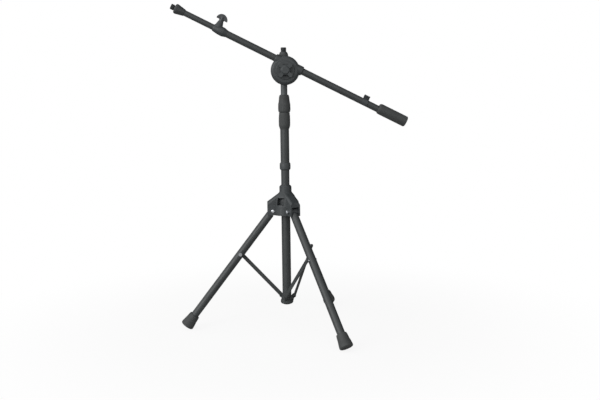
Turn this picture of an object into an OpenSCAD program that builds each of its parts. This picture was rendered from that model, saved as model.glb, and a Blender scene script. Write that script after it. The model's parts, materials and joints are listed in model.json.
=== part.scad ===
// Boom microphone stand: folding tripod base, telescopic rod, tilting boom arm with counterweight.
// Origin on the floor under the column axis, +Z up, +X towards the counterweight.

/* [Tripod base] */
// Angle of each leg from the vertical when the base is open, in degrees
leg_angle = 37.5; // [36:0.5:39]
// Outside diameter of a leg tube
leg_d = 22.5; // [21.5:0.1:22.7]
// Height of the leg pivots above the floor
pivot_z = 347; // [335:1:360]
// Distance of the leg pivots from the column axis
pivot_r = 37.7; // [37:0.1:39.5]
// Distance along a leg from its pivot to the brace joint
brace_joint_a = 158.7; // [152:0.1:166]
// Distance of the lower brace pins from the column axis
pin_r = 15; // [14:0.5:17]
// Height of the lower brace pins above the floor
pin_z = 92; // [84:0.5:94]
// Width of a brace bar
brace_w = 11; // [9:0.5:12]
// Outside diameter of a rubber foot
foot_d = 38.5; // [35:0.5:40]

/* [Column] */
// Outside diameter of the upper column tube
column_d = 25.4; // [25.2:0.1:25.8]
// Height of the top of the column clutch
clutch_top_z = 680.5; // [675:0.5:684]
// Outside diameter of the telescopic rod
rod_d = 19; // [18.5:0.1:19]
// Height of the coupling ring's lower edge
ring_z = 465.3; // [445:0.1:490]

/* [Swivel] */
// Height of the boom's tilt axis
tilt_z = 748; // [743:1:752]
// Distance of the tilt axis from the column axis towards the counterweight
tilt_x = 3; // [0:0.5:4]
// Radius of the round clamp shells
shell_r = 40.8; // [39:0.1:42]
// Distance in front of the column axis at which the boom runs
boom_front = 28; // [27.9:0.1:28.5]
// Distance of the boom's axis from the tilt axis
boom_offset = 18.7; // [17.5:0.1:20]
// Fall of the boom towards its counterweight end, in degrees
boom_slope = 26.7; // [10:0.1:40]

/* [Boom] */
// Outside diameter of the main boom tube
boom_d = 19.2; // [19:0.1:19.4]
// Outside diameter of the extension tube
extension_d = 16.2; // [16:0.1:16.2]
// Outside diameter of the counterweight
weight_d = 31; // [29:0.5:34]
// Length of the counterweight
weight_l = 89; // [70:1:105]
// Distance of the counterweight's axis above the boom's axis
weight_rise = 2.5; // [0:0.1:2.6]
// Outside diameter of the microphone thread, 5/8 inch
thread_d = 15.88; // [15.88]

/* [Hidden] */
$fn = 64;
eps = 0.01;
running = 0.05; // radial clearance of every turning or sliding fit
fixed = 0.02;   // radial clearance of every fixed fit

// legs: azimuth of each one
LEFT = 180;
FRONT = 300;
REAR = 60;
AZIMUTHS = [LEFT, FRONT, REAR];
leg_wall = 1.5;
sole_r = foot_d / 2 - 1.4;
leg_length = (pivot_z - sole_r * sin(leg_angle)) / cos(leg_angle);
foot_l = 40;
foot_sole = 8;
tube_end = 12;
cheek_out = 15.5;
cheek_in = leg_d / 2 + 0.5;
pivot_bolt_r = 3;

// braces: layers sideways from the plane through each leg's axis
brace_t = 2.6;
brace_in = 15.8;
brace_out = brace_in + brace_t;
ear_out = brace_in - 0.1;
ear_in = 12.9;
joint_r = pivot_r + brace_joint_a * sin(leg_angle);
joint_z = pivot_z - brace_joint_a * cos(leg_angle);
brace_l = norm([joint_r - pin_r, joint_z - pin_z]);
brace_angle = atan2(joint_r - pin_r, joint_z - pin_z);
pin_shank_r = 2.5;

// hub
hub_low = 335;
neck_low = 402;
neck_high = 421;
neck_r = 17.6;
lobe_r = 53.3;
lobe_fall = 36;
bush_r = 15;
sleeve_low = pin_z - 19;
sleeve_top = 394;

// column
sleeve_r = 12.95;
lower_r = 12;
lower_bore = 10.8;
column_bore = 10.9;
column_top = 653;
lower_low = 123;
ring_h = 21;
ring_joint = ring_z + 10;
clutch_split = clutch_top_z - 50.5;
rod_low = 196;
rod_high = 735;
rod_wall = 1.2;

// swivel: faces counted forwards from the column axis
socket_low = 711;
socket_r = 13.5;
socket_roof = 739.5;
flange_z = 785;
stud_z = 802;
stud_top = 813.5;
face_front = 13;
face_back = 6;
boss_back = 16;
hex_floor = 11;
bolt_r = 4;
washer_t = 1.9;
shell_back = face_front + 2;
shell_gap = 0.4;
shell_front = 43.5;
knob_back = shell_front + 1.7;
knob_front = 59;

// boom, counted along it from the point nearest the tilt axis
boom_low = -224.5;
boom_high = 370;
boom_wall = 1.25;
collar_low = -231.5;
collar_high = -190.5;
screw_x = -219;
channel_low = -40;
channel_high = 45;
channel_r = 13.2;
liner_r = 10.7;
flange_x = -348.5;
extension_low = -321;
extension_high = 55;
extension_wall = 1.2;
stud_tip_x = -360.5;
weight_low = 284.5;
clip_x = 233;
clip_w = 17;

steel_black = "#2c2f30";
moulded_black = "#3a3d3e";
rubber_black = "#232526";
zinc = "#c9ccd0";

// ---------- frames and shared shapes ----------

// origin at a leg's pivot, -Z down the leg, +X outwards, Y sideways
module leg_frame(azimuth) {
    rotate([0, 0, azimuth])
        translate([pivot_r, 0, pivot_z])
            rotate([0, -leg_angle, 0])
                children();
}

// origin at a brace's lower pin, +Z up the brace, Y sideways
module brace_frame(azimuth) {
    rotate([0, 0, azimuth])
        translate([pin_r, 0, pin_z])
            rotate([0, brace_angle, 0])
                children();
}

// origin on the tilt axis in the column's plane, axes upright
module swivel_frame() {
    translate([tilt_x, 0, tilt_z])
        children();
}

// origin on the tilt axis in the column's plane, +X along the boom
module tilt_frame() {
    swivel_frame()
        rotate([0, boom_slope, 0])
            children();
}

// origin on the boom's axis, +X along the boom, +Z away from the tilt axis
module boom_frame() {
    tilt_frame()
        translate([0, -boom_front, boom_offset])
            children();
}

// origin on the counterweight's axis, +X along the boom
module weight_frame() {
    boom_frame()
        translate([0, 0, weight_rise])
            children();
}

// a solid of revolution about X, from [x, radius] points
module turned_x(points) {
    rotate([0, 90, 0])
        rotate_extrude()
            polygon([for (p = points) [p[1], p[0]]]);
}

// a solid of revolution about Y, from [distance forwards, radius] points
module turned_front(points) {
    rotate([90, 0, 0])
        rotate_extrude()
            polygon([for (p = points) [p[1], p[0]]]);
}

// a round bar or hole about Y between two distances forwards
module bar_front(radius, from, to, sides = $fn) {
    translate([0, -from, 0])
        rotate([90, 0, 0])
            cylinder(r = radius, h = to - from, $fn = sides);
}

// a tube or ring standing on Z
module pipe(outer, bore, low, high) {
    translate([0, 0, low])
        difference() {
            cylinder(r = outer, h = high - low);
            translate([0, 0, -eps])
                cylinder(r = bore, h = high - low + 2 * eps);
        }
}

// a tube or ring lying on X
module pipe_x(outer, bore, low, high) {
    rotate([0, 90, 0])
        pipe(outer, bore, low, high);
}

// ---------- base ----------

module center_sleeve() {
    color(steel_black)
        pipe(sleeve_r, lower_r + running, sleeve_low, sleeve_top);
}

module leg_bracket() {
    cup_r = 18.5;
    cup_low = pin_z - 23;
    cup_high = pin_z - 9;
    ear_r = 7;
    ear_back = -6;
    color(steel_black)
        difference() {
            union() {
                rotate_extrude()
                    polygon([
                        [0, cup_low], [10, cup_low], [cup_r - 2, cup_low + 3],
                        [cup_r, cup_low + 6], [cup_r, cup_high - 2], [cup_r - 1.5, cup_high], [0, cup_high]
                    ]);
                for (azimuth = AZIMUTHS)
                    rotate([0, 0, azimuth])
                        translate([0, -ear_in, 0])
                            rotate([90, 0, 0])
                                linear_extrude(ear_out - ear_in)
                                    ear_outline(ear_r, ear_back, cup_low + 7);
            }
            translate([0, 0, sleeve_low])
                cylinder(r = sleeve_r + fixed, h = 60);
            for (azimuth = AZIMUTHS)
                rotate([0, 0, azimuth])
                    translate([pin_r, 0, pin_z])
                        bar_front(pin_shank_r + fixed, ear_in - 1, ear_out + 1);
        }
}

// side view of an ear: a tab that rises from the cup to a round end about the pin
module ear_outline(radius, back, low) {
    translate([pin_r, pin_z])
        circle(r = radius);
    polygon([
        [back, low], [pin_r - 6, low], [pin_r + radius, pin_z],
        [pin_r, pin_z + radius], [back, pin_z + radius - 6]
    ]);
}

module bracket_pins() {
    head_r = 4.2;
    head_t = 1.8;
    color(zinc)
        for (azimuth = AZIMUTHS)
            rotate([0, 0, azimuth])
                translate([pin_r, 0, pin_z]) {
                    bar_front(pin_shank_r, ear_in, brace_out + 0.1);
                    bar_front(head_r, brace_out + 0.1, brace_out + 0.1 + head_t);
                }
}

// ---------- hub ----------

// hooded fork over one leg, before it is slotted
module lobe() {
    hood_l = 120;
    drop = 90;
    edge = 7;
    flat = cheek_out - edge;
    intersection() {
        translate([neck_r, 0, neck_low - 3])
            rotate([0, lobe_fall, 0])
                translate([-hood_l / 3, 0, 0]) {
                    for (side = [-1, 1])
                        translate([0, side * flat, -edge])
                            rotate([0, 90, 0])
                                cylinder(r = edge, h = hood_l);
                    translate([0, -flat, -edge - drop])
                        cube([hood_l, 2 * flat, edge + drop]);
                    translate([0, -cheek_out, -edge - drop])
                        cube([hood_l, 2 * cheek_out, drop]);
                }
        translate([0, -cheek_out, hub_low])
            cube([lobe_r, 2 * cheek_out, neck_high - hub_low]);
    }
}

// room for the top of a leg to swing
module leg_slot() {
    swing_r = 13.5;
    reach = 37;
    depth = 30;
    rotate([90, 0, 0])
        linear_extrude(2 * cheek_in, center = true) {
            translate([pivot_r, pivot_z])
                circle(r = swing_r);
            translate([pivot_r - swing_r, pivot_z - depth])
                square([swing_r + reach, depth]);
            translate([pivot_r, pivot_z - depth])
                square([reach, depth + swing_r]);
        }
}

module hub() {
    skirt_r = 35;
    window_w = 22;
    window_low = 365;
    window_h = 21;
    window_depth = 17;
    bush_h = 14;
    step_z = sleeve_top + 1;
    color(moulded_black)
        difference() {
            union() {
                rotate_extrude()
                    polygon([
                        [0, hub_low], [skirt_r, hub_low], [skirt_r, 360], [32, 379], [26, 391],
                        [neck_r, neck_low], [neck_r, neck_high - 4], [neck_r - 3.5, neck_high], [0, neck_high]
                    ]);
                for (azimuth = AZIMUTHS)
                    rotate([0, 0, azimuth])
                        lobe();
            }
            translate([0, 0, hub_low - 1])
                cylinder(r = sleeve_r + 0.2, h = step_z - hub_low + 1);
            translate([0, 0, hub_low - 1])
                cylinder(r = bush_r, h = bush_h + 1);
            translate([0, 0, hub_low])
                cylinder(r = lower_r + fixed, h = 100);
            for (azimuth = AZIMUTHS)
                rotate([0, 0, azimuth]) {
                    leg_slot();
                    translate([pivot_r, 0, pivot_z])
                        bar_front(pivot_bolt_r + fixed, -30, 30);
                    rotate([0, 0, 60])
                        translate([window_depth, -window_w / 2, window_low])
                            cube([30, window_w, window_h]);
                }
            for (azimuth = [FRONT + 60, REAR + 60])
                set_screw_bore(azimuth);
        }
}

// threaded hole across one side of the hub's neck
module set_screw_bore(azimuth) {
    rotate([0, 0, azimuth])
        translate([0, 0, (neck_low + neck_high) / 2])
            rotate([0, 90, 0])
                cylinder(r = 2.5 + fixed, h = 30);
}

module hub_bush() {
    color(rubber_black)
        pipe(bush_r - fixed, sleeve_r + running, hub_low + 0.5, hub_low + 14);
}

module hub_set_screws() {
    screw_l = 5;
    socket_r_hex = 1.5;
    color(zinc)
        for (azimuth = [FRONT + 60, REAR + 60])
            rotate([0, 0, azimuth])
                translate([lower_r + 0.1, 0, (neck_low + neck_high) / 2])
                    rotate([0, 90, 0])
                        difference() {
                            cylinder(r = 2.5, h = screw_l);
                            translate([0, 0, screw_l - 2])
                                cylinder(r = socket_r_hex, h = 3, $fn = 6);
                        }
}

// bolts through the leg eyes, their domed heads on the counter-clockwise side
module leg_bolts() {
    head_r = 5.4;
    head_t = 3.2;
    seat = cheek_out + 0.05;
    color(zinc)
        for (azimuth = AZIMUTHS)
            rotate([0, 0, azimuth])
                translate([pivot_r, 0, pivot_z]) {
                    turned_front([
                        [-seat - head_t, 0], [-seat - head_t, head_r - 1.8], [-seat - head_t + 1.2, head_r - 0.4],
                        [-seat, head_r], [-seat, 0]
                    ]);
                    bar_front(pivot_bolt_r, -seat, seat + 7);
                }
}

module leg_nuts() {
    nut_r = 5.6;
    nut_t = 5.6;
    seat = cheek_out + 0.05;
    color(zinc)
        for (azimuth = AZIMUTHS)
            rotate([0, 0, azimuth])
                translate([pivot_r, 0, pivot_z])
                    difference() {
                        bar_front(nut_r, seat, seat + nut_t, 6);
                        bar_front(pivot_bolt_r + fixed, seat - 1, seat + nut_t + 1);
                    }
}

// ---------- column ----------

module lower_column() {
    color(steel_black)
        pipe(lower_r, lower_bore, lower_low, ring_joint);
}

module column_ring() {
    outer = 15.75;
    edge = 3;
    top = ring_z + ring_h;
    color(moulded_black)
        rotate_extrude()
            polygon([
                [lower_r + fixed, ring_z], [outer - edge, ring_z], [outer, ring_z + edge],
                [outer, top - edge], [outer - 2, top], [column_d / 2 + fixed, top],
                [column_d / 2 + fixed, ring_joint + 0.5], [lower_r + fixed, ring_joint + 0.5]
            ]);
}

module column_tube() {
    color(steel_black)
        pipe(column_d / 2, column_bore, ring_joint + 0.5, column_top);
}

module clutch_body() {
    bore = column_d / 2 + fixed;
    low = clutch_split - 47.5;
    color(rubber_black)
        rotate_extrude()
            polygon([
                [bore, low], [bore + 0.6, low], [14.4, low + 4], [15.7, low + 7.5], [16.4, low + 12],
                [16.5, low + 24], [16.2, low + 35], [15.6, low + 42], [15.3, low + 47], [bore, low + 47]
            ]);
}

// slit ring that the grip squeezes onto the rod
module clutch_collet() {
    low = column_top + 0.2;
    high = clutch_top_z - 3;
    slit = 2;
    color(moulded_black)
        difference() {
            rotate_extrude()
                polygon([
                    [rod_d / 2 + running, low], [11.6, low], [11.6, low + 8],
                    [10.9, high], [rod_d / 2 + running, high]
                ]);
            translate([0, -slit / 2, low + 6])
                cube([30, slit, 40]);
        }
}

module clutch_grip() {
    bore = column_d / 2 + running + 0.03;
    low = clutch_split;
    color(rubber_black)
        rotate_extrude()
            polygon([
                [bore, low], [15.3, low], [16.6, low + 2.6], [17.5, low + 6], [17.7, low + 10],
                [17.4, low + 23], [16.4, low + 28.5], [15.8, low + 32], [15.3, low + 37],
                [14.8, clutch_top_z - 7.5], [14.2, clutch_top_z - 4.5], [13, clutch_top_z - 1.5],
                [12, clutch_top_z], [rod_d / 2 + 0.4, clutch_top_z],
                [rod_d / 2 + 0.4, clutch_top_z - 2.5], [11.8, clutch_top_z - 2.5],
                [11.8, column_top + 0.1], [bore, column_top + 0.1]
            ]);
}

// ---------- telescopic rod ----------

module rod_tube() {
    color(steel_black)
        pipe(rod_d / 2, rod_d / 2 - rod_wall, rod_low, rod_high);
}

module rod_guide() {
    color(moulded_black)
        pipe(lower_bore - running, rod_d / 2 + fixed, rod_low, rod_low + 25);
}

module rod_cap() {
    color(moulded_black) {
        translate([0, 0, rod_high - 22])
            cylinder(r = rod_d / 2 - rod_wall - fixed, h = 22);
        translate([0, 0, rod_high])
            cylinder(r = rod_d / 2, h = socket_roof - 0.5 - rod_high);
    }
}

// ---------- swivel on the rod's top ----------

module swivel_base() {
    boss_r = 25.5;
    rear_r = 14.5;
    edge = 2;
    hex_r = 7.55;
    color(moulded_black)
        difference() {
            union() {
                rotate_extrude()
                    polygon([
                        [0, socket_low], [socket_r - 1.5, socket_low], [socket_r, socket_low + 2],
                        [socket_r, flange_z - 3], [socket_r - 2, flange_z - 0.1], [0, flange_z - 0.1]
                    ]);
                swivel_frame()
                    turned_front([
                        [-boss_back, 0], [-boss_back, rear_r - 1.5], [-boss_back + 1.5, rear_r],
                        [-face_back - 3, rear_r], [-face_back, boss_r - edge],
                        [-face_back + edge, boss_r], [face_front, boss_r], [face_front, 0]
                    ]);
            }
            translate([0, 0, socket_low - 1])
                cylinder(r = rod_d / 2 + running, h = socket_roof - socket_low + 1);
            translate([0, 0, flange_z - 21])
                cylinder(r = 6 + fixed, h = 30);
            swivel_frame() {
                slab(face_front, 40);
                bar_front(bolt_r + fixed, -30, 30);
                bar_front(hex_r + 0.1, -30, -hex_floor, 6);
            }
            translate([0, 0, socket_low + 10])
                rotate([-90, 0, 0])
                    cylinder(r = 2.5 + fixed, h = 30);
        }
}

// screw at the back of the socket that holds the swivel on the rod
module swivel_set_screw() {
    shank_l = 6;
    color(zinc)
        translate([0, rod_d / 2 + 0.1, socket_low + 10])
            rotate([-90, 0, 0]) {
                cylinder(r = 2.5, h = shank_l);
                translate([0, 0, shank_l])
                    cylinder(r = 4.5, h = 3);
            }
}

module friction_washer() {
    color(rubber_black)
        swivel_frame()
            difference() {
                bar_front(24.5, face_front + 0.05, face_front + washer_t);
                bar_front(bolt_r + fixed, 0, 30);
            }
}

module pivot_bolt() {
    hex_r = 7.5;
    color(zinc)
        swivel_frame() {
            bar_front(bolt_r, -hex_floor, knob_front - 3);
            bar_front(hex_r, -boss_back - 0.5, -hex_floor, 6);
        }
}

module knob_washer() {
    color(zinc)
        swivel_frame()
            difference() {
                bar_front(11, shell_front + 0.1, knob_back - 0.1);
                bar_front(bolt_r + fixed, 0, 60);
            }
}

// lock ring under the vertical thread
module top_flange() {
    color(steel_black)
        difference() {
            rotate_extrude()
                polygon([
                    [0, flange_z], [12.4, flange_z], [13.2, flange_z + 1], [13.2, flange_z + 8],
                    [12.2, flange_z + 11.5], [9.4, stud_z - 0.5], [0, stud_z - 0.5]
                ]);
            translate([0, 0, flange_z - 1])
                cylinder(r = 6 + fixed, h = 30);
        }
}

module top_stud() {
    color(steel_black) {
        translate([0, 0, flange_z - 20])
            cylinder(r = 6, h = stud_z - flange_z + 21);
        translate([0, 0, stud_z])
            threaded_end(stud_top - stud_z);
    }
}

// outside of a 5/8 inch thread with a chamfered tip
module threaded_end(length) {
    tip = 1;
    cylinder(d = thread_d, h = length - tip);
    translate([0, 0, length - tip])
        cylinder(d1 = thread_d, d2 = thread_d - 2 * tip, h = tip);
}

// ---------- tilting clamp ----------

module channel_cut() {
    translate([0, -boom_front, boom_offset])
        rotate([0, 90, 0])
            translate([0, 0, -80])
                cylinder(r = liner_r + fixed, h = 160);
}

module channel_boss() {
    translate([0, -boom_front, boom_offset])
        turned_x([
            [channel_low, 0], [channel_low, channel_r - 1.5], [channel_low + 2, channel_r],
            [channel_high - 2, channel_r], [channel_high, channel_r - 1.5], [channel_high, 0]
        ]);
}

// the part of the clamp between two distances forwards
module slab(from, to) {
    reach = 120;
    translate([-reach, -to, -reach])
        cube([2 * reach, to - from, 2 * reach]);
}

module clamp_shell_rear() {
    split = boom_front - shell_gap;
    color(moulded_black)
        tilt_frame()
            difference() {
                union() {
                    turned_front([
                        [shell_back, 0], [shell_back, shell_r - 5], [shell_back + 3.5, shell_r - 0.7],
                        [shell_back + 6, shell_r], [split, shell_r], [split, 0]
                    ]);
                    intersection() {
                        channel_boss();
                        slab(shell_back, split);
                    }
                }
                channel_cut();
                bar_front(bolt_r + running, 0, 60);
            }
}

module clamp_shell_front() {
    split = boom_front + shell_gap;
    color(moulded_black)
        tilt_frame()
            difference() {
                union() {
                    turned_front([
                        [split, 0], [split, shell_r], [split + 5, shell_r - 0.4], [split + 9.5, shell_r - 3],
                        [split + 13, shell_r - 7.5], [shell_front - 2, shell_r - 12],
                        [shell_front - 2, shell_r - 14], [shell_front, shell_r - 16], [shell_front, 0]
                    ]);
                    intersection() {
                        channel_boss();
                        slab(split, shell_front);
                    }
                }
                channel_cut();
                bar_front(bolt_r + running, 0, 60);
            }
}

// slit plastic sleeve between the clamp and the boom
module channel_liner() {
    slit = 2;
    color(rubber_black)
        boom_frame()
            difference() {
                pipe_x(liner_r, boom_d / 2 + running, channel_low + 1, channel_high - 1);
                translate([channel_low, -slit / 2, 0])
                    cube([channel_high - channel_low, slit, 20]);
            }
}

// four-armed hand knob on the front of the pivot bolt
module tilt_knob() {
    arm_r = 25;
    arm_w = 11.5;
    arm_back = knob_back + 3;
    arm_front = knob_front - 3;
    color(moulded_black)
        swivel_frame()
            difference() {
                union() {
                    turned_front([
                        [knob_back, 0], [knob_back, 13], [knob_back + 3, 15], [knob_front - 4, 13.5],
                        [knob_front, 9], [knob_front, 0]
                    ]);
                    for (turn = [45, 135])
                        rotate([0, turn, 0])
                            translate([0, -arm_back, 0])
                                rotate([90, 0, 0])
                                    linear_extrude(arm_front - arm_back)
                                        arm_outline(arm_r, arm_w);
                }
                bar_front(7 + fixed, 0, knob_front - 2);
            }
}

// a bar across the knob with a round lobe at each end
module arm_outline(radius, width) {
    for (side = [-1, 1])
        translate([side * (radius - width / 2), 0])
            circle(r = width / 2);
    square([2 * radius - width, width - 2], center = true);
}

module knob_insert() {
    color(zinc)
        swivel_frame()
            difference() {
                bar_front(7, knob_back, knob_front - 2.05);
                bar_front(bolt_r + running, 0, 90);
            }
}

// ---------- boom ----------

module boom_tube() {
    color(steel_black)
        boom_frame()
            difference() {
                pipe_x(boom_d / 2, boom_d / 2 - boom_wall, boom_low, boom_high);
                translate([screw_x, 0, 0])
                    cylinder(r = 3.3, h = 30);
            }
}

module boom_collar() {
    bore = boom_d / 2 + fixed;
    lip = 3;
    color(moulded_black)
        boom_frame()
            difference() {
                union() {
                    turned_x([
                        [collar_low, 0], [collar_low, bore], [collar_low + 3, 10.5], [collar_low + 8, 11.3],
                        [collar_low + 16, 12.5], [collar_low + 22, 12.9], [collar_low + 30, 12.9],
                        [collar_high - 6, 11.6], [collar_high - 1.5, 10.4], [collar_high, 10.2], [collar_high, 0]
                    ]);
                    translate([screw_x, 0, 5])
                        cylinder(r1 = 12.4, r2 = 7.4, h = 18.3);
                }
                rotate([0, 90, 0])
                    translate([0, 0, collar_low + lip])
                        cylinder(r = bore, h = 80);
                rotate([0, 90, 0])
                    translate([0, 0, collar_low - 1])
                        cylinder(r = extension_d / 2 + 0.2, h = 20);
                translate([screw_x, 0, 0])
                    cylinder(r = 3 + running, h = 40);
            }
}

module extension_bush() {
    color(rubber_black)
        boom_frame()
            pipe_x(boom_d / 2, extension_d / 2 + running, collar_low + 3.2, boom_low - 0.2);
}

// bore of the counterweight's parts, on the boom's axis
module weight_bore(low, high) {
    translate([0, 0, -weight_rise])
        rotate([0, 90, 0])
            translate([0, 0, low])
                cylinder(r = boom_d / 2 + fixed, h = high - low);
}

module counterweight_core() {
    low = weight_low + 3.1;
    high = weight_low + weight_l - 3.1;
    color(zinc)
        weight_frame()
            difference() {
                rotate([0, 90, 0])
                    translate([0, 0, low])
                        cylinder(r = weight_d / 2 - 2.55, h = high - low);
                weight_bore(low - 1, high + 1);
            }
}

module counterweight_sleeve() {
    outer = weight_d / 2;
    inner = outer - 2.5;
    high = weight_low + weight_l;
    color(rubber_black)
        weight_frame()
            difference() {
                turned_x([
                    [weight_low, 0], [weight_low, outer - 3], [weight_low + 3, outer - 0.8],
                    [weight_low + 6, outer], [high - 3, outer], [high - 1, outer - 0.8], [high, outer - 2.5],
                    [high, 0], [high - 3, 0], [high - 3, inner], [weight_low + 3, inner], [weight_low + 3, 0]
                ]);
                weight_bore(weight_low - 1, weight_low + 4);
            }
}

// winged hand knob over the boom collar, its tips curving down
module thumb_knob() {
    wing_r = 15.9;
    wing_z = 28.3;
    wing_t = 13;
    hollow_r = 9.4;
    stem_low = 23.5;
    color(moulded_black)
        boom_frame()
            translate([screw_x, 0, 0])
                difference() {
                    union() {
                        rotate([90, 0, 0])
                            linear_extrude(wing_t, center = true)
                                difference() {
                                    translate([0, wing_z])
                                        circle(r = wing_r);
                                    translate([0, wing_z - 5])
                                        circle(r = hollow_r);
                                    translate([-40, -10.5])
                                        square([80, wing_z + 11]);
                                }
                        translate([0, 0, stem_low])
                            cylinder(r1 = 6.6, r2 = 8, h = 14);
                    }
                    translate([0, 0, stem_low - 1])
                        cylinder(r = 3 + fixed, h = 14);
                }
}

module thumb_stud() {
    low = extension_d / 2 + 0.08;
    color(zinc)
        boom_frame()
            translate([screw_x, 0, low])
                cylinder(r = 3, h = 36 - low);
}

// ---------- boom extension ----------

module extension_tube() {
    color(steel_black)
        boom_frame()
            pipe_x(extension_d / 2, extension_d / 2 - extension_wall, extension_low, extension_high);
}

module extension_plug() {
    color(rubber_black)
        boom_frame()
            rotate([0, 90, 0]) {
                translate([0, 0, extension_high - 15])
                    cylinder(r = extension_d / 2 - extension_wall - fixed, h = 16);
                translate([0, 0, extension_high])
                    cylinder(r = boom_d / 2 - boom_wall - running, h = 6);
            }
}

module mic_flange() {
    spigot = extension_d / 2 - extension_wall - fixed;
    color(steel_black)
        boom_frame()
            difference() {
                turned_x([
                    [flange_x, 0], [flange_x, 12], [flange_x + 2, 13.6], [flange_x + 5.5, 14.1],
                    [flange_x + 9, 13.4], [flange_x + 13.5, 12.3], [flange_x + 18.5, 11.5], [flange_x + 24.5, 10],
                    [extension_low + 2, 9], [extension_low + 2, extension_d / 2 + fixed],
                    [extension_low - 1, extension_d / 2 + fixed], [extension_low - 1, spigot],
                    [extension_low + 20, spigot], [extension_low + 20, 0]
                ]);
                rotate([0, 90, 0])
                    translate([0, 0, flange_x - 1])
                        cylinder(r = 6 + fixed, h = 19);
            }
}

module mic_stud() {
    neck = 2;
    color(steel_black)
        boom_frame()
            rotate([0, -90, 0]) {
                translate([0, 0, -flange_x - 17])
                    cylinder(r = 6, h = 17 + neck + 1);
                translate([0, 0, -flange_x + neck])
                    threaded_end(flange_x - stud_tip_x - neck);
            }
}

// spring clip: the lower jaw grips the boom, the upper one holds a cable
module cable_clip() {
    grip_out = 11.8;
    hold_z = 15.6;
    hold_out = 5.4;
    hold_in = 3.2;
    color(moulded_black)
        boom_frame()
            translate([clip_x, 0, 0])
                rotate([90, 0, 90])
                    linear_extrude(clip_w)
                        difference() {
                            union() {
                                circle(r = grip_out);
                                translate([0, hold_z])
                                    circle(r = hold_out);
                            }
                            circle(r = boom_d / 2 + running);
                            translate([0, hold_z])
                                circle(r = hold_in);
                            polygon([[0, 0], [-20, -22], [20, -22]]);
                            translate([0, hold_z])
                                polygon([[0, 0], [-12, 3], [-12, -3.5]]);
                        }
}

// ---------- legs and braces ----------

module leg_tube(azimuth) {
    radius = leg_d / 2;
    color(steel_black)
        leg_frame(azimuth)
            difference() {
                pipe(radius, radius - leg_wall, -leg_length + foot_sole, -tube_end);
                translate([0, 0, -brace_joint_a])
                    bar_front(3 + fixed, -30, 30);
            }
}

// plug in the leg's top with a cross eye for the hub bolt
module leg_eye(azimuth) {
    eye_r = 10.6;
    color(moulded_black)
        leg_frame(azimuth)
            difference() {
                union() {
                    bar_front(eye_r, -cheek_in + 0.1, cheek_in - 0.1);
                    translate([0, 0, -tube_end - 24])
                        cylinder(r = leg_d / 2 - leg_wall - fixed, h = 26);
                }
                bar_front(pivot_bolt_r + running, -30, 30);
            }
}

module foot(azimuth) {
    outer = foot_d / 2;
    top_r = leg_d / 2 + 3.5;
    color(rubber_black)
        leg_frame(azimuth)
            translate([0, 0, -leg_length])
                difference() {
                    rotate_extrude()
                        polygon([
                            [0, 0], [sole_r, 0], [outer, 1.5], [outer, 5], [outer - 0.8, 12], [outer - 2.4, 22],
                            [top_r + 0.6, foot_l - 4], [top_r, foot_l - 1.2], [top_r - 1, foot_l], [0, foot_l]
                        ]);
                    translate([0, 0, foot_sole - 0.1])
                        cylinder(r = leg_d / 2 + fixed, h = foot_l);
                }
}

// rivet across the leg for the brace; it stops short of the brace's layer
module leg_rivet(azimuth) {
    side = leg_d / 2 + 0.1;
    color(steel_black)
        leg_frame(azimuth)
            translate([0, 0, -brace_joint_a]) {
                bar_front(3, -side - 0.1, brace_in - 0.2);
                bar_front(5, side, brace_in - 0.2);
                bar_front(5, -side - 2, -side);
            }
}

// flat bar from the lower bracket to the leg, with a rivet head at its outer end
module brace(azimuth) {
    radius = brace_w / 2;
    head_r = 4.6;
    head_t = 2;
    color(steel_black)
        brace_frame(azimuth)
            difference() {
                union() {
                    translate([0, -brace_in, 0])
                        rotate([90, 0, 0])
                            linear_extrude(brace_t) {
                                circle(r = radius);
                                translate([-radius, 0])
                                    square([brace_w, brace_l]);
                                translate([0, brace_l])
                                    circle(r = radius);
                            }
                    translate([0, 0, brace_l])
                        turned_front([
                            [brace_out, 0], [brace_out, head_r], [brace_out + head_t - 0.6, head_r - 0.8],
                            [brace_out + head_t, head_r - 2.4], [brace_out + head_t, 0]
                        ]);
                }
                bar_front(pin_shank_r + running, 0, 40);
            }
}

center_sleeve();
leg_bracket();
bracket_pins();
hub();
hub_bush();
hub_set_screws();
leg_bolts();
leg_nuts();
lower_column();
column_ring();
column_tube();
clutch_body();
clutch_collet();
clutch_grip();
rod_tube();
rod_guide();
rod_cap();
swivel_base();
swivel_set_screw();
friction_washer();
pivot_bolt();
knob_washer();
top_flange();
top_stud();
clamp_shell_rear();
clamp_shell_front();
channel_liner();
tilt_knob();
knob_insert();
boom_tube();
boom_collar();
extension_bush();
counterweight_core();
counterweight_sleeve();
thumb_knob();
thumb_stud();
extension_tube();
extension_plug();
mic_flange();
mic_stud();
cable_clip();
leg_tube(LEFT);  // leg_tube_left
leg_eye(LEFT);  // leg_eye_left
foot(LEFT);  // foot_left
leg_rivet(LEFT);  // leg_rivet_left
brace(LEFT);  // brace_left
leg_tube(FRONT);  // leg_tube_front
leg_eye(FRONT);  // leg_eye_front
foot(FRONT);  // foot_front
leg_rivet(FRONT);  // leg_rivet_front
brace(FRONT);  // brace_front
leg_tube(REAR);  // leg_tube_rear
leg_eye(REAR);  // leg_eye_rear
foot(REAR);  // foot_rear
leg_rivet(REAR);  // leg_rivet_rear
brace(REAR);  // brace_rear
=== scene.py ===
"""Looks for the boom microphone stand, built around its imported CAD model. Metres, +Z up."""

import json
import math

import bmesh
import bpy
from mathutils import Matrix, Vector


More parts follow.
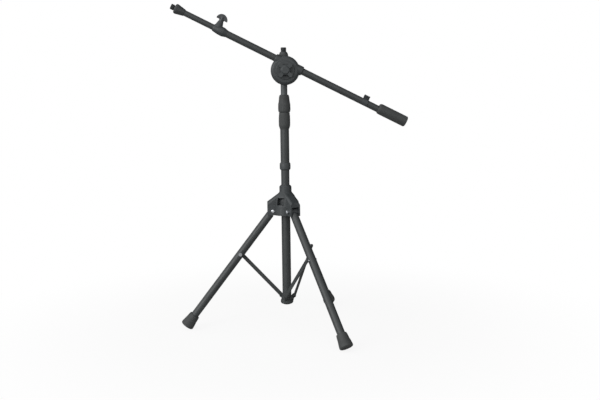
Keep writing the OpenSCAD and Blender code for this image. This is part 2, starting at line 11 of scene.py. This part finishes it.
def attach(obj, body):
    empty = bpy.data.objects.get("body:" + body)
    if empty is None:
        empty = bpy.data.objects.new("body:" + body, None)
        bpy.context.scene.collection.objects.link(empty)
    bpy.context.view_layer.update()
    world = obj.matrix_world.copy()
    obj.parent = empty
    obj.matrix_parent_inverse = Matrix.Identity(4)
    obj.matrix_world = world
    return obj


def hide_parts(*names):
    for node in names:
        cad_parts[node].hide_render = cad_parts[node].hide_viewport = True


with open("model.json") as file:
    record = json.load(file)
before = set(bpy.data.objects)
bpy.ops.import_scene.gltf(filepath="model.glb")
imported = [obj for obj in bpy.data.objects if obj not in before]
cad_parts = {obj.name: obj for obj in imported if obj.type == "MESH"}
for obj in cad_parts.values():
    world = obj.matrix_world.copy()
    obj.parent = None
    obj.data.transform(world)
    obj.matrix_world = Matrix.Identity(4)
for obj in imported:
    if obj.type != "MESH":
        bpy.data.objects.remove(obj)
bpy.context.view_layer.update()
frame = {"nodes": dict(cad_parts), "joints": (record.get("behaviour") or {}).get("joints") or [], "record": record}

MM = 0.001
JOINTS = {j["name"]: j for j in frame["joints"]}
MOUNTS = {m["name"]: m for m in frame["record"]["mounts"]}
SLOT_OF = {s["node"]: s["material_slot"] for s in frame["record"]["subparts"]}
BODY_OF = {n: b for b, nodes in frame["record"]["behaviour"]["bodies"].items() for n in nodes}
LEGS = ("left", "front", "rear")

# Segments round a turned piece, and along each of its fillets
SIDES = 96
RIBBED_SIDES = 192
KNURLED_SIDES = 240
BOLT_SIDES = 48
FILLET_STEPS = 5

# Gap between a turned piece and the tube or shank it sits on, mm
GAP = 0.02

# The two 5/8 inch studs, mm
SHANK = 6
THREAD_PITCH = 25.4 / 27
THREAD_DEPTH = 0.55
THREAD_CHAMFER = 1.0
THREAD_SIDES = 64
ROWS_PER_TURN = 10


# ---------- frames: where each group of pieces sits, in millimetres ----------

def frame_of(origin, z, x):
    """Matrix of a frame in millimetres with its origin, its Z axis and an X axis near x."""
    z = Vector(z).normalized()
    y = z.cross(Vector(x)).normalized()
    x = y.cross(z)
    turn = Matrix((x, y, z)).transposed().to_4x4()
    return Matrix.Translation(origin) @ turn @ Matrix.Scale(MM, 4)


TILT_POINT = Vector(JOINTS["boom_tilt"]["pos_m"])
BOOM_DIR = Vector(JOINTS["boom_slide"]["axis"])
FORWARD = Vector((0, -1, 0))
BOOM_UP = BOOM_DIR.cross(FORWARD) * -1
MIC_POINT = Vector(MOUNTS["mic_thread"]["pos_m"])
BOOM_FOOT = MIC_POINT + BOOM_DIR * (TILT_POINT - MIC_POINT).dot(BOOM_DIR)

COLUMN = frame_of((0, 0, 0), (0, 0, 1), (1, 0, 0))
BOOM = frame_of(BOOM_FOOT, BOOM_DIR, BOOM_UP)


def leg_frame(side):
    """Frame at a leg's pivot: Z up the leg, Y along the pivot."""
    joint = JOINTS[f"leg_{side}_fold"]
    pivot = Vector(joint["pos_m"])
    outward = Vector((pivot.x, pivot.y, 0)).normalized()
    angle = math.radians(joint["range_deg"][1])
    up = Vector((0, 0, 1)) * math.cos(angle) - outward * math.sin(angle)
    return frame_of(pivot, up, outward)


def span(node, matrix):
    """Lowest and highest corner of a CAD node in a frame, in millimetres."""
    back = matrix.inverted()
    points = [back @ v.co for v in frame["nodes"][node].data.vertices]
    low = Vector([min(p[i] for p in points) for i in range(3)])
    high = Vector([max(p[i] for p in points) for i in range(3)])
    return low, high


# ---------- materials ----------

WEAR_WIDTH = 0.5         # width of a worn edge, mm
ROD_PAINTED_LIGHT = 2.0      # painted light: the rod's coat is made this many times lighter than that of the other tubes, standing in for light the rod lacks under the disc


def new_material(name):
    """An empty node material: returns it, its node tree and its shader."""
    mat = bpy.data.materials.new(name)
    mat.use_nodes = True
    return mat, mat.node_tree, mat.node_tree.nodes["Principled BSDF"]


def add(tree, kind, inputs=None, **settings):
    """A new shader node. Inputs are plain values or sockets of other nodes."""
    node = tree.nodes.new(kind)
    for key, value in settings.items():
        setattr(node, key, value)
    for key, value in (inputs or {}).items():
        if isinstance(value, bpy.types.NodeSocket):
            tree.links.new(value, node.inputs[key])
        else:
            node.inputs[key].default_value = value
    return node


def noise(tree, size_mm, detail=3.0, rough=0.55):
    """Noise in object space whose features are about size_mm across."""
    place = add(tree, "ShaderNodeTexCoord").outputs["Object"]
    settings = {"Vector": place, "Scale": 1 / (size_mm * MM), "Detail": detail, "Roughness": rough}
    return add(tree, "ShaderNodeTexNoise", settings).outputs["Fac"]


def ramp(tree, factor, stops):
    """Colour ramp through (position, colour) stops."""
    node = add(tree, "ShaderNodeValToRGB", {"Fac": factor})
    band = node.color_ramp
    while len(band.elements) < len(stops):
        band.elements.new(0.5)
    for element, (position, colour) in zip(band.elements, stops):
        element.position = position
        element.color = (*colour, 1)
    return node.outputs["Color"]


def between(tree, factor, low, high):
    """A value from low to high as the factor goes from 0 to 1."""
    node = add(tree, "ShaderNodeMapRange", {"Value": factor, "To Min": low, "To Max": high})
    return node.outputs["Result"]


def mix(tree, factor, tone, colour):
    """The tone, with the plain colour over it as far as the factor says."""
    node = add(tree, "ShaderNodeMix", data_type="RGBA")
    low, high = (s for s in node.inputs if s.type == "RGBA")
    tree.links.new(factor, node.inputs["Factor"])
    tree.links.new(tone, low)
    high.default_value = (*colour, 1)
    return next(s for s in node.outputs if s.type == "RGBA")


def bumps(tree, shader, layers):
    """Stacks bump layers given as (height socket, depth in mm, strength)."""
    normal = None
    for height, depth, strength in layers:
        inputs = {"Height": height, "Distance": depth * MM, "Strength": strength}
        if normal:
            inputs["Normal"] = normal
        normal = add(tree, "ShaderNodeBump", inputs).outputs["Normal"]
    tree.links.new(normal, shader.inputs["Normal"])


def dot(tree, a, b):
    return add(tree, "ShaderNodeVectorMath", {0: a, 1: b}, operation="DOT_PRODUCT").outputs["Value"]


def above(tree, value, start, end):
    """0 while the value is at start, 1 once it is at end."""
    ends = {"Value": value, "From Min": start, "From Max": end}
    return add(tree, "ShaderNodeMapRange", ends).outputs["Result"]


def edge_wear(tree):
    """1 on worn edges, 0 elsewhere, broken up by noise. An edge is where a bevel would turn the normal."""
    bevelled = add(tree, "ShaderNodeBevel", {"Radius": WEAR_WIDTH * MM}, samples=6).outputs["Normal"]
    plain = add(tree, "ShaderNodeNewGeometry").outputs["Normal"]
    on_edge = above(tree, dot(tree, bevelled, plain), 0.98, 0.85)
    patch = above(tree, noise(tree, 6, 5, 0.7), 0.48, 0.66)
    return add(tree, "ShaderNodeMath", {0: on_edge, 1: patch}, operation="MULTIPLY").outputs["Value"]


def powder_coat(name, painted_lightness=1.0):
    """Satin black powder coat: fine orange peel, faint dust and rub marks. A lightness factor above 1 makes a lit
    copy of the coat, with painted light in its tones.
    """
    mat, tree, shader = new_material(name)
    dark, light = (Vector(c) * painted_lightness for c in ((0.026, 0.030, 0.031), (0.038, 0.043, 0.044)))
    tone = ramp(tree, noise(tree, 45, 4), [(0.3, dark), (0.7, light)])
    dust = between(tree, noise(tree, 9, 6, 0.7), 0.0, 0.22)
    tone = mix(tree, dust, tone, (0.065, 0.070, 0.070))
    tone = mix(tree, edge_wear(tree), tone, (0.17, 0.175, 0.175))
    tree.links.new(tone, shader.inputs["Base Color"])
    tree.links.new(between(tree, noise(tree, 14, 4), 0.46, 0.60), shader.inputs["Roughness"])
    shader.inputs["Coat Weight"].default_value = 0.10
    shader.inputs["Coat Roughness"].default_value = 0.35
    peel = noise(tree, 0.9, 2)
    grain = noise(tree, 0.25, 1)
    bumps(tree, shader, [(peel, 0.05, 0.5), (grain, 0.012, 0.35)])
    return mat


def moulded_plastic():
    """Glass-filled black plastic with a spark-eroded texture."""
    mat, tree, shader = new_material("moulded_plastic_black")
    tone = ramp(tree, noise(tree, 30, 4), [(0.3, (0.032, 0.037, 0.039)), (0.7, (0.045, 0.051, 0.054))])
    scuff = between(tree, noise(tree, 12, 4, 0.6), 0.0, 0.16)
    tone = mix(tree, scuff, tone, (0.062, 0.068, 0.069))
    tone = mix(tree, edge_wear(tree), tone, (0.13, 0.14, 0.14))
    tree.links.new(tone, shader.inputs["Base Color"])
    tree.links.new(between(tree, noise(tree, 7, 4), 0.42, 0.58), shader.inputs["Roughness"])
    bumps(tree, shader, [(noise(tree, 0.5, 2, 0.5), 0.015, 0.3), (noise(tree, 0.2, 1), 0.006, 0.25)])
    return mat


def soft_rubber():
    """Matt black rubber with a dusty bloom."""
    mat, tree, shader = new_material("rubber_black")
    tone = ramp(tree, noise(tree, 22, 5), [(0.3, (0.030, 0.033, 0.033)), (0.72, (0.046, 0.050, 0.050))])
    bloom = between(tree, noise(tree, 5, 7, 0.75), 0.0, 0.3)
    tone = mix(tree, bloom, tone, (0.060, 0.063, 0.061))
    tone = mix(tree, edge_wear(tree), tone, (0.095, 0.098, 0.095))
    tree.links.new(tone, shader.inputs["Base Color"])
    tree.links.new(between(tree, noise(tree, 8, 4), 0.58, 0.76), shader.inputs["Roughness"])
    shader.inputs["Sheen Weight"].default_value = 0.08
    bumps(tree, shader, [(noise(tree, 0.8, 4, 0.65), 0.05, 0.5)])
    return mat


def zinc_plate():
    """Bright zinc plating with fine turning marks and a faint blue-yellow tint."""
    mat, tree, shader = new_material("zinc_plate")
    tints = [(0.25, (0.62, 0.65, 0.70)), (0.6, (0.72, 0.74, 0.76)), (0.8, (0.74, 0.73, 0.66))]
    tint = ramp(tree, noise(tree, 5, 3), tints)
    tree.links.new(tint, shader.inputs["Base Color"])
    shader.inputs["Metallic"].default_value = 1.0
    tree.links.new(between(tree, noise(tree, 2, 5), 0.20, 0.38), shader.inputs["Roughness"])
    bumps(tree, shader, [(noise(tree, 0.35, 2), 0.02, 0.4)])
    return mat


def rough_iron():
    """As-cast iron of the counterweight's core."""
    mat, tree, shader = new_material("cast_iron")
    tone = ramp(tree, noise(tree, 8, 5), [(0.3, (0.06, 0.055, 0.05)), (0.7, (0.12, 0.115, 0.11))])
    tree.links.new(tone, shader.inputs["Base Color"])
    shader.inputs["Metallic"].default_value = 0.7
    shader.inputs["Roughness"].default_value = 0.6
    bumps(tree, shader, [(noise(tree, 1.5, 5, 0.7), 0.2, 0.6)])
    return mat


MATERIALS = {
    "tube_black": powder_coat("powder_coat_black"),
    "moulded_black": moulded_plastic(),
    "rubber_black": soft_rubber(),
    "zinc_plate": zinc_plate(),
    "weight_iron": rough_iron(),
}
# The rod's copy of the coat is lighter all over: painted light standing in for the light the rod lacks under the
# disc.
ROD_PAINTED_LIGHT_COAT = powder_coat("powder_coat_rod_painted_light", ROD_PAINTED_LIGHT)


# ---------- mesh tools ----------

def circle(sides):
    return [2 * math.pi * k / sides for k in range(sides)]


def rounded(corners):
    """Outline with arcs at its corners. Each corner is (radius, height) or (radius, height, fillet)."""
    points = [Vector(c[:2]) for c in corners]
    out = []
    for i, corner in enumerate(corners):
        fillet = corner[2] if len(corner) > 2 else 0
        if not fillet or i in (0, len(corners) - 1):
            out.append(points[i])
            continue
        before = points[i - 1] - points[i]
        after = points[i + 1] - points[i]
        half = before.angle(after) / 2
        reach = min(fillet / math.tan(half), before.length * 0.49, after.length * 0.49)
        start = points[i] + before.normalized() * reach
        end = points[i] + after.normalized() * reach
        for k in range(FILLET_STEPS + 1):
            t = k / FILLET_STEPS
            out.append(start * (1 - t) ** 2 + points[i] * 2 * t * (1 - t) + end * t ** 2)
    return out


def turned_mesh(outline, sides=SIDES, ripple=None):
    """bmesh of a solid of revolution about Z. An outline that starts and ends at radius 0 closes at its
    poles, any other closes on itself as a ring. ripple(angle, radius, height) gives a changed radius."""
    bm = bmesh.new()
    rows = []
    for radius, height in outline:
        if radius < 1e-6:
            rows.append([bm.verts.new((0, 0, height))])
            continue
        row = []
        for angle in circle(sides):
            r = ripple(angle, radius, height) if ripple else radius
            row.append(bm.verts.new((r * math.cos(angle), r * math.sin(angle), height)))
        rows.append(row)
    pairs = list(zip(rows, rows[1:]))
    if len(rows[0]) > 1:
        pairs.append((rows[-1], rows[0]))
    for a, b in pairs:
        for k in range(sides):
            n = (k + 1) % sides
            if len(a) == 1:
                bm.faces.new((a[0], b[n], b[k]))
            elif len(b) == 1:
                bm.faces.new((a[k], a[n], b[0]))
            else:
                bm.faces.new((a[k], a[n], b[n], b[k]))
    bmesh.ops.recalc_face_normals(bm, faces=bm.faces)
    return bm


def mesh_of(name, bm):
    """Turns a bmesh into a mesh and frees it."""
    mesh = bpy.data.meshes.new(name)
    bm.to_mesh(mesh)
    bm.free()
    return mesh


def new_object(name, data):
    obj = bpy.data.objects.new(name, data)
    bpy.context.scene.collection.objects.link(obj)
    return obj


def piece(name, bm, matrix, node, sharp_angle=38):
    """Makes an object from a bmesh, in place of a CAD node, on its body and with its finish."""
    bm.transform(matrix)
    mesh = mesh_of(name, bm)
    mesh.shade_smooth()
    mesh.set_sharp_from_angle(angle=math.radians(sharp_angle))
    mesh.materials.append(MATERIALS[SLOT_OF[node]])
    obj = new_object(name, mesh)
    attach(obj, BODY_OF[node])
    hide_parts(node)


def turned(name, corners, matrix, node, ripple=None, sides=SIDES):
    piece(name, turned_mesh(rounded(corners), sides, ripple), matrix, node)


def teeth(count, depth, low, high, least):
    """Ripple that cuts rounded grooves between two heights, where the radius passes least."""
    run_out = 1.2

    def cut(angle, radius, height):
        if radius < least:
            return radius
        fade = max(0.0, min(1.0, (height - low) / run_out, (high - height) / run_out))
        wave = 0.5 - 0.5 * math.cos(count * angle)
        return radius - depth * fade * wave ** 2
    return cut


def soften(node, width):
    """Rounds the edges of a CAD node that stays on show, and gives it its material."""
    obj = frame["nodes"][node]
    weld = obj.modifiers.new("weld", "WELD")
    weld.merge_threshold = 0.002 * MM
    if width:
        bevel = obj.modifiers.new("edges", "BEVEL")
        bevel.width = width * MM
        bevel.segments = 3
        bevel.limit_method = "ANGLE"
        bevel.angle_limit = math.radians(30)
    obj.data.shade_smooth()
    normals = obj.modifiers.new("normals", "WEIGHTED_NORMAL")
    normals.weight = 80
    obj.data.materials.clear()
    # The rod tube gets the lighter copy of the powder coat, with painted light in its colour.
    obj.data.materials.append(ROD_PAINTED_LIGHT_COAT if node == "rod_tube" else MATERIALS[SLOT_OF[node]])


def ring_of(bm, radii, height):
    """A row of vertices round Z, one for each radius."""
    row = []
    for r, angle in zip(radii, circle(len(radii))):
        row.append(bm.verts.new((r * math.cos(angle), r * math.sin(angle), height)))
    return row


def thread_radius(major, turns, below_tip, above_seat):
    """Radius of a thread's surface, chamfered at its tip and at its seat. Its flanks repeat once a turn."""
    flank = abs((turns % 1) * 2 - 1)
    r = major - THREAD_DEPTH * min(1.0, max(0.0, flank * 1.25 - 0.12))
    root = major - THREAD_CHAMFER
    return min(r, root + below_tip * 1.2, root + above_seat * 1.5)


def stud_mesh(major, low, seat, tip):
    """Closed bmesh of a stud about Z: a plain shank from low to seat, then a 5/8 inch thread to the tip."""
    bm = bmesh.new()
    count = int((tip - seat) / THREAD_PITCH * ROWS_PER_TURN)
    rows = [ring_of(bm, [SHANK] * THREAD_SIDES, z) for z in (low, seat - 0.3)]
    for i in range(count + 1):
        z = seat + (tip - seat) * i / count
        turns = [z / THREAD_PITCH - k / THREAD_SIDES for k in range(THREAD_SIDES)]
        rows.append(ring_of(bm, [thread_radius(major, t, tip - z, z - seat) for t in turns], z))
    for a, b in zip(rows, rows[1:]):
        for k in range(THREAD_SIDES):
            n = (k + 1) % THREAD_SIDES
            bm.faces.new((a[k], a[n], b[n], b[k]))
    bm.faces.new(rows[0])
    bm.faces.new(rows[-1])
    bmesh.ops.recalc_face_normals(bm, faces=bm.faces)
    return bm


# ---------- column ----------

def column_pieces():
    """The coupling ring and the two halves of the height clutch, which meet at a narrow waist."""
    waist = 15.3
    low, high = (c.z for c in span("column_ring", COLUMN))
    r = span("column_ring", COLUMN)[1].x
    bore = span("lower_column", COLUMN)[1].x
    corners = [
        (bore, low), (r - 2.2, low, 0.8), (r - 0.3, low + 3, 2.5), (r, (low + high) / 2, 20),
        (r - 0.3, high - 3, 2.5), (r - 2.2, high, 0.8), (bore, high)]
    turned("coupling_ring", corners, COLUMN, "column_ring")

    low, high = (c.z for c in span("clutch_body", COLUMN))
    bore = span("column_tube", COLUMN)[1].x
    corners = [
        (bore, low), (bore + 0.6, low, 0.3), (14.4, low + 4, 2), (15.7, low + 7.5, 3), (16.4, low + 12, 5),
        (16.5, low + 24, 10), (16.2, low + 35, 8), (15.6, low + 42, 5), (waist, high, 0.6), (bore, high)]
    ribs = teeth(32, 0.35, low + 12, low + 38, 15.5)
    turned("clutch_lower_grip", corners, COLUMN, "clutch_body", ribs, RIBBED_SIDES)

    low, high = (c.z for c in span("clutch_grip", COLUMN))
    column_top = span("column_tube", COLUMN)[1].z
    seat = bore + 0.08
    rod = span("rod_tube", COLUMN)[1].x + 0.4
    collet = span("clutch_collet", COLUMN)[1].x + 0.2
    corners = [
        (seat, low), (waist, low, 0.5), (16.6, low + 2.6, 1.5), (17.5, low + 6, 3), (17.7, low + 10, 4),
        (17.4, low + 23, 8), (16.4, low + 28.5, 4), (15.8, low + 32, 3), (15.3, low + 37, 4),
        (14.8, high - 7.5, 4), (14.2, high - 4.5, 3), (13, high - 1.5, 1.5), (12, high, 0.5),
        (rod, high), (rod, high - 2.5),
        (collet, high - 2.5), (collet, column_top + 0.1), (seat, column_top + 0.1)]
    ribs = teeth(24, 0.5, low + 6, low + 26, 16.5)
    turned("clutch_upper_grip", corners, COLUMN, "clutch_grip", ribs, RIBBED_SIDES)


def flange_pieces():
    """The knurled ring under the upright thread and the knurled fitting on the boom's end."""
    bore = SHANK + GAP
    low, high = (c.z for c in span("top_flange", COLUMN))
    r = span("top_flange", COLUMN)[1].x
    corners = [
        (bore, low), (r - 0.8, low, 0.3), (r, low + 1, 0.4), (r, low + 7.8, 0.5),
        (r - 1, low + 11.3, 1.5), (9.8, high - 0.8, 0.6), (9.2, high, 0.3), (bore, high)]
    knurl = teeth(30, 0.6, low + 0.3, low + 9.2, r - 1.2)
    turned("top_lock_ring", corners, COLUMN, "top_flange", knurl, KNURLED_SIDES)

    face, end = (c.z for c in span("mic_flange", BOOM))
    rim = span("mic_flange", BOOM)[1].x
    tube_low, tube_high = span("extension_tube", BOOM)
    tube, tube_end = tube_high.x, tube_low.z
    spigot = tube - 1.22
    hole_end = face + 18
    corners = [
        (0, hole_end), (bore, hole_end), (bore, face), (rim - 2.1, face, 0.5), (rim - 0.5, face + 2, 1),
        (rim, face + 5.5, 2.5), (rim - 0.7, face + 9, 4), (rim - 1.8, face + 13.5, 5),
        (rim - 2.6, face + 18.5, 5), (rim - 4.1, face + 24.5, 5), (9.2, tube_end + 1, 2),
        (8.6, tube_end + 2, 0.2), (tube + GAP, tube_end + 2), (tube + GAP, tube_end - 1),
        (spigot, tube_end - 1), (spigot, end), (0, end)]
    knurl = teeth(30, 0.6, face + 1, face + 9.5, rim - 1.3)
    turned("mic_end_fitting", corners, BOOM, "mic_flange", knurl, KNURLED_SIDES)


def thread_pieces():
    """Both threaded studs. Each thread starts a little above its ring or fitting."""
    major = MOUNTS["mic_thread"]["dims"]["r_mm"]
    low, high = (c.z for c in span("top_stud", COLUMN))
    seat = span("top_flange", COLUMN)[1].z + 0.5
    piece("top_thread_stud", stud_mesh(major, low, seat, high), COLUMN, "top_stud", sharp_angle=60)
    outward = BOOM @ Matrix.Rotation(math.pi, 4, "Y")
    low, high = (c.z for c in span("mic_stud", outward))
    seat = span("mic_flange", outward)[1].z + 2
    piece("mic_thread_stud", stud_mesh(major, low, seat, high), outward, "mic_stud", sharp_angle=60)


# ---------- boom ----------

def counterweight_cover():
    """The cover, hollow round its core. It sits higher than the boom, so its bore lies below its own axis."""
    low, high = span("counterweight_sleeve", BOOM)
    tube = span("boom_tube", BOOM)[1].x + GAP
    r, near, end = high.y, low.z, high.z
    inner = r - 2.5
    rise = high.x - r

    def off_centre(angle, radius, height):
        if radius > tube + 0.01:
            return radius
        return math.sqrt(tube ** 2 - (rise * math.sin(angle)) ** 2) - rise * math.cos(angle)

    corners = [
        (0, end - 3), (inner, end - 3), (inner, near + 3), (tube, near + 3), (tube, near),
        (r - 3, near, 0.5), (r - 0.9, near + 2.8, 1.5), (r, near + 6, 3),
        (r, end - 7, 0.3), (r - 0.35, end - 6.6, 0.2), (r - 0.35, end - 6.0, 0.2), (r, end - 5.6, 0.3),
        (r - 0.1, end - 2.4, 1.2), (r - 2.2, end, 1.5), (r - 6, end, 0.5), (r - 6.6, end - 0.7, 0.3),
        (0, end - 0.7)]
    raised = BOOM @ Matrix.Translation((rise, 0, 0))
    turned("counterweight_cover", corners, raised, "counterweight_sleeve", off_centre)


def feet():
    """Flared feet with a groove round the middle of the sole, closed over the leg's end."""
    for side in LEGS:
        matrix = leg_frame(side)
        low, high = span(f"foot_{side}", matrix)
        tube_low, tube_high = span(f"leg_tube_{side}", matrix)
        leg = tube_high.y + GAP
        leg_end = tube_low.z - 0.1
        r, base, top = high.y, low.z, high.z
        corners = [
            (0, base + 1.2), (r - 12, base + 1.2, 0.3), (r - 11.4, base, 0.3), (r - 8.6, base, 0.3),
            (r - 8, base + 1.2, 0.3), (r - 5.6, base + 1.2, 0.3), (r - 5, base, 0.3), (r - 1.6, base, 1.2),
            (r, base + 2.2, 1.8), (r - 0.1, base + 6, 4), (r - 0.9, base + 13, 12), (r - 2.6, base + 23, 14),
            (leg + 4.1, top - 4, 3), (leg + 3.3, top - 0.6, 1.2), (leg + 1.9, top, 0.8), (leg, top, 0.2),
            (leg, leg_end), (0, leg_end)]
        turned(f"rubber_foot_{side}", corners, matrix, f"foot_{side}")


# ---------- fasteners ----------

def leg_bolts():
    """Domed heads with a round socket, on plain shanks."""
    tip, seat = -22.4, 15.55
    shank, head, socket = 3, 5.4, 1.7
    corners = [
        (0, tip), (shank - 0.5, tip, 0.2), (shank, tip + 0.6, 0.2), (shank, seat, 0.1), (head, seat, 0.2),
        (head, seat + 0.85, 0.8), (head - 1, seat + 2.45, 1.4), (socket + 0.6, seat + 3.2, 0.4),
        (socket + 0.05, seat + 3.05, 0.2), (socket, seat + 1.45, 0.1), (0, seat + 1.25)]
    all_bolts = bmesh.new()
    for side in LEGS:
        joint = JOINTS[f"leg_{side}_fold"]
        bm = turned_mesh(rounded(corners), BOLT_SIDES)
        bm.transform(frame_of(Vector(joint["pos_m"]), joint["axis"], (0, 0, 1)))
        mesh = mesh_of("bolt", bm)
        all_bolts.from_mesh(mesh)
        bpy.data.meshes.remove(mesh)
    piece("leg_bolt_set", all_bolts, Matrix.Identity(4), "leg_bolts")


# ---------- whole object ----------

# Width of the rounded edges of the CAD nodes, mm
SOFT_EDGES = {
    "hub": 1.3, "swivel_base": 1.0, "clamp_shell_rear": 0.8, "clamp_shell_front": 0.9, "tilt_knob": 2.2,
    "boom_collar": 1.1, "thumb_knob": 2.2, "cable_clip": 0.5, "leg_bracket": 0.8,
    "brace_left": 0.5, "brace_front": 0.5, "brace_rear": 0.5,
    "leg_nuts": 0.4, "hub_set_screws": 0.2, "swivel_set_screw": 0.4, "pivot_bolt": 0.5, "knob_washer": 0.25,
    "bracket_pins": 0.5, "leg_rivet_left": 0.6, "leg_rivet_front": 0.6, "leg_rivet_rear": 0.6,
    "column_tube": 0.3, "lower_column": 0.3, "center_sleeve": 0.25, "boom_tube": 0.3, "extension_tube": 0.3,
    "rod_tube": 0.3, "leg_tube_left": 0.4, "leg_tube_front": 0.4, "leg_tube_rear": 0.4,
    "leg_eye_left": 0.5, "leg_eye_front": 0.5, "leg_eye_rear": 0.5,
}


def build():
    column_pieces()
    flange_pieces()
    thread_pieces()
    counterweight_cover()
    feet()
    leg_bolts()
    for node in frame["nodes"]:
        soften(node, SOFT_EDGES.get(node, 0))


# ---------- studio ----------

KEY_PLACE = (-2.6, -2.6, 1.4)
KEY_POWER = 50
FILL_PLACE = (2.6, -1.6, 1.2)
FILL_POWER = 7
LIGHT_TARGET = Vector((0, 0, 0.5))
LIGHT_SIZE = 2.0
ROOM_SIDE = (-0.70, -0.70, 0.10)    # where most of the room's light comes from
ROOM_LIGHT = 1.3
ROOM_LEAST = 0.02
FLOOR_REACH = 40.0
FLOOR_DROP = 0.0005                 # keeps the floor clear of the feet's soles
FLOOR_GLOW = 0.22                   # the floor's light on the object; the camera sees 1
SHADOW_RADIUS = 0.3                 # the floor's shadow starts to fade here
SHADOW_END = 1.1
SHADOW_SHARE = 0.12                 # share of real shading in the floor near the stand


def area_light(name, place, power):
    data = bpy.data.lights.new(name, "AREA")
    data.shape = "DISK"
    data.size = LIGHT_SIZE
    data.energy = power
    obj = new_object(name, data)
    obj.location = place
    obj.rotation_euler = (LIGHT_TARGET - Vector(place)).to_track_quat("-Z", "Y").to_euler()


def studio():
    bm = bmesh.new()
    bmesh.ops.create_grid(bm, x_segments=1, y_segments=1, size=FLOOR_REACH)
    bmesh.ops.translate(bm, verts=bm.verts, vec=(0, 0, -FLOOR_DROP))
    mesh = mesh_of("floor", bm)
    mesh.materials.append(pale_floor())
    new_object("floor", mesh)
    white_room()
    area_light("key", KEY_PLACE, KEY_POWER)
    area_light("fill", FILL_PLACE, FILL_POWER)


def smooth_step(tree, value, start, end, low, high):
    """Goes smoothly from low to high as the value goes from start to end."""
    ends = {"Value": value, "From Min": start, "From Max": end, "To Min": low, "To Max": high}
    return add(tree, "ShaderNodeMapRange", ends, interpolation_type="SMOOTHSTEP").outputs["Result"]


def pale_floor():
    """White floor that keeps a soft shadow near the stand and turns into the bright backdrop further out."""
    mat, tree, shader = new_material("pale_floor")
    tone = ramp(tree, noise(tree, 400, 3), [(0.3, (0.92, 0.92, 0.92)), (0.7, (0.95, 0.95, 0.95))])
    tree.links.new(tone, shader.inputs["Base Color"])
    shader.inputs["Roughness"].default_value = 0.9
    place = add(tree, "ShaderNodeTexCoord").outputs["Object"]
    far = add(tree, "ShaderNodeVectorMath", {0: place}, operation="LENGTH").outputs["Value"]
    share = smooth_step(tree, far, SHADOW_RADIUS, SHADOW_END, 1 - SHADOW_SHARE, 1)
    seen = add(tree, "ShaderNodeLightPath").outputs["Is Camera Ray"]
    strength = between(tree, seen, FLOOR_GLOW, 1)
    glow = add(tree, "ShaderNodeEmission", {"Color": (1, 1, 1, 1), "Strength": strength})
    blend = add(tree, "ShaderNodeMixShader", {"Fac": share})
    tree.links.new(shader.outputs["BSDF"], blend.inputs[1])
    tree.links.new(glow.outputs["Emission"], blend.inputs[2])
    tree.links.new(blend.outputs["Shader"], tree.nodes["Material Output"].inputs["Surface"])
    return mat


def white_room():
    """White backdrop for the camera. Its light on the object comes mostly from the left and the front."""
    world = bpy.data.worlds.new("studio")
    bpy.context.scene.world = world
    world.use_nodes = True
    tree = world.node_tree
    back = tree.nodes["Background"]
    way = add(tree, "ShaderNodeTexCoord").outputs["Generated"]
    level = smooth_step(tree, dot(tree, way, ROOM_SIDE), -0.6, 1, ROOM_LEAST, ROOM_LIGHT)
    seen = add(tree, "ShaderNodeLightPath").outputs["Is Camera Ray"]
    strength = add(tree, "ShaderNodeMix", {"Factor": seen, "A": level, "B": 1.0}, data_type="FLOAT")
    tree.links.new(strength.outputs["Result"], back.inputs["Strength"])
    back.inputs["Color"].default_value = (1, 1, 1, 1)


CAMERA_PLACE = (-0.0790, -2.3061, 0.6600)
CAMERA_AZIMUTH = math.radians(-3.0)
CAMERA_PITCH = math.radians(7.0)
CAMERA_ROLL = math.radians(-0.7)
CAMERA_LENS = 48.0


def camera():
    data = bpy.data.cameras.new("camera")
    data.lens = CAMERA_LENS
    data.sensor_width = 36.0
    turn, dip = CAMERA_AZIMUTH, CAMERA_PITCH
    look = Vector((-math.sin(turn) * math.cos(dip), math.cos(turn) * math.cos(dip), -math.sin(dip)))
    right = Vector((math.cos(turn), math.sin(turn), 0))
    up = right.cross(look)
    side = right * math.cos(CAMERA_ROLL) + up * math.sin(CAMERA_ROLL)
    top = up * math.cos(CAMERA_ROLL) - right * math.sin(CAMERA_ROLL)
    obj = new_object("camera", data)
    obj.matrix_world = Matrix.Translation(CAMERA_PLACE) @ Matrix((side, top, -look)).transposed().to_4x4()
    bpy.context.scene.camera = obj


build()
studio()
camera()
bpy.context.scene.view_settings.view_transform = "Standard"
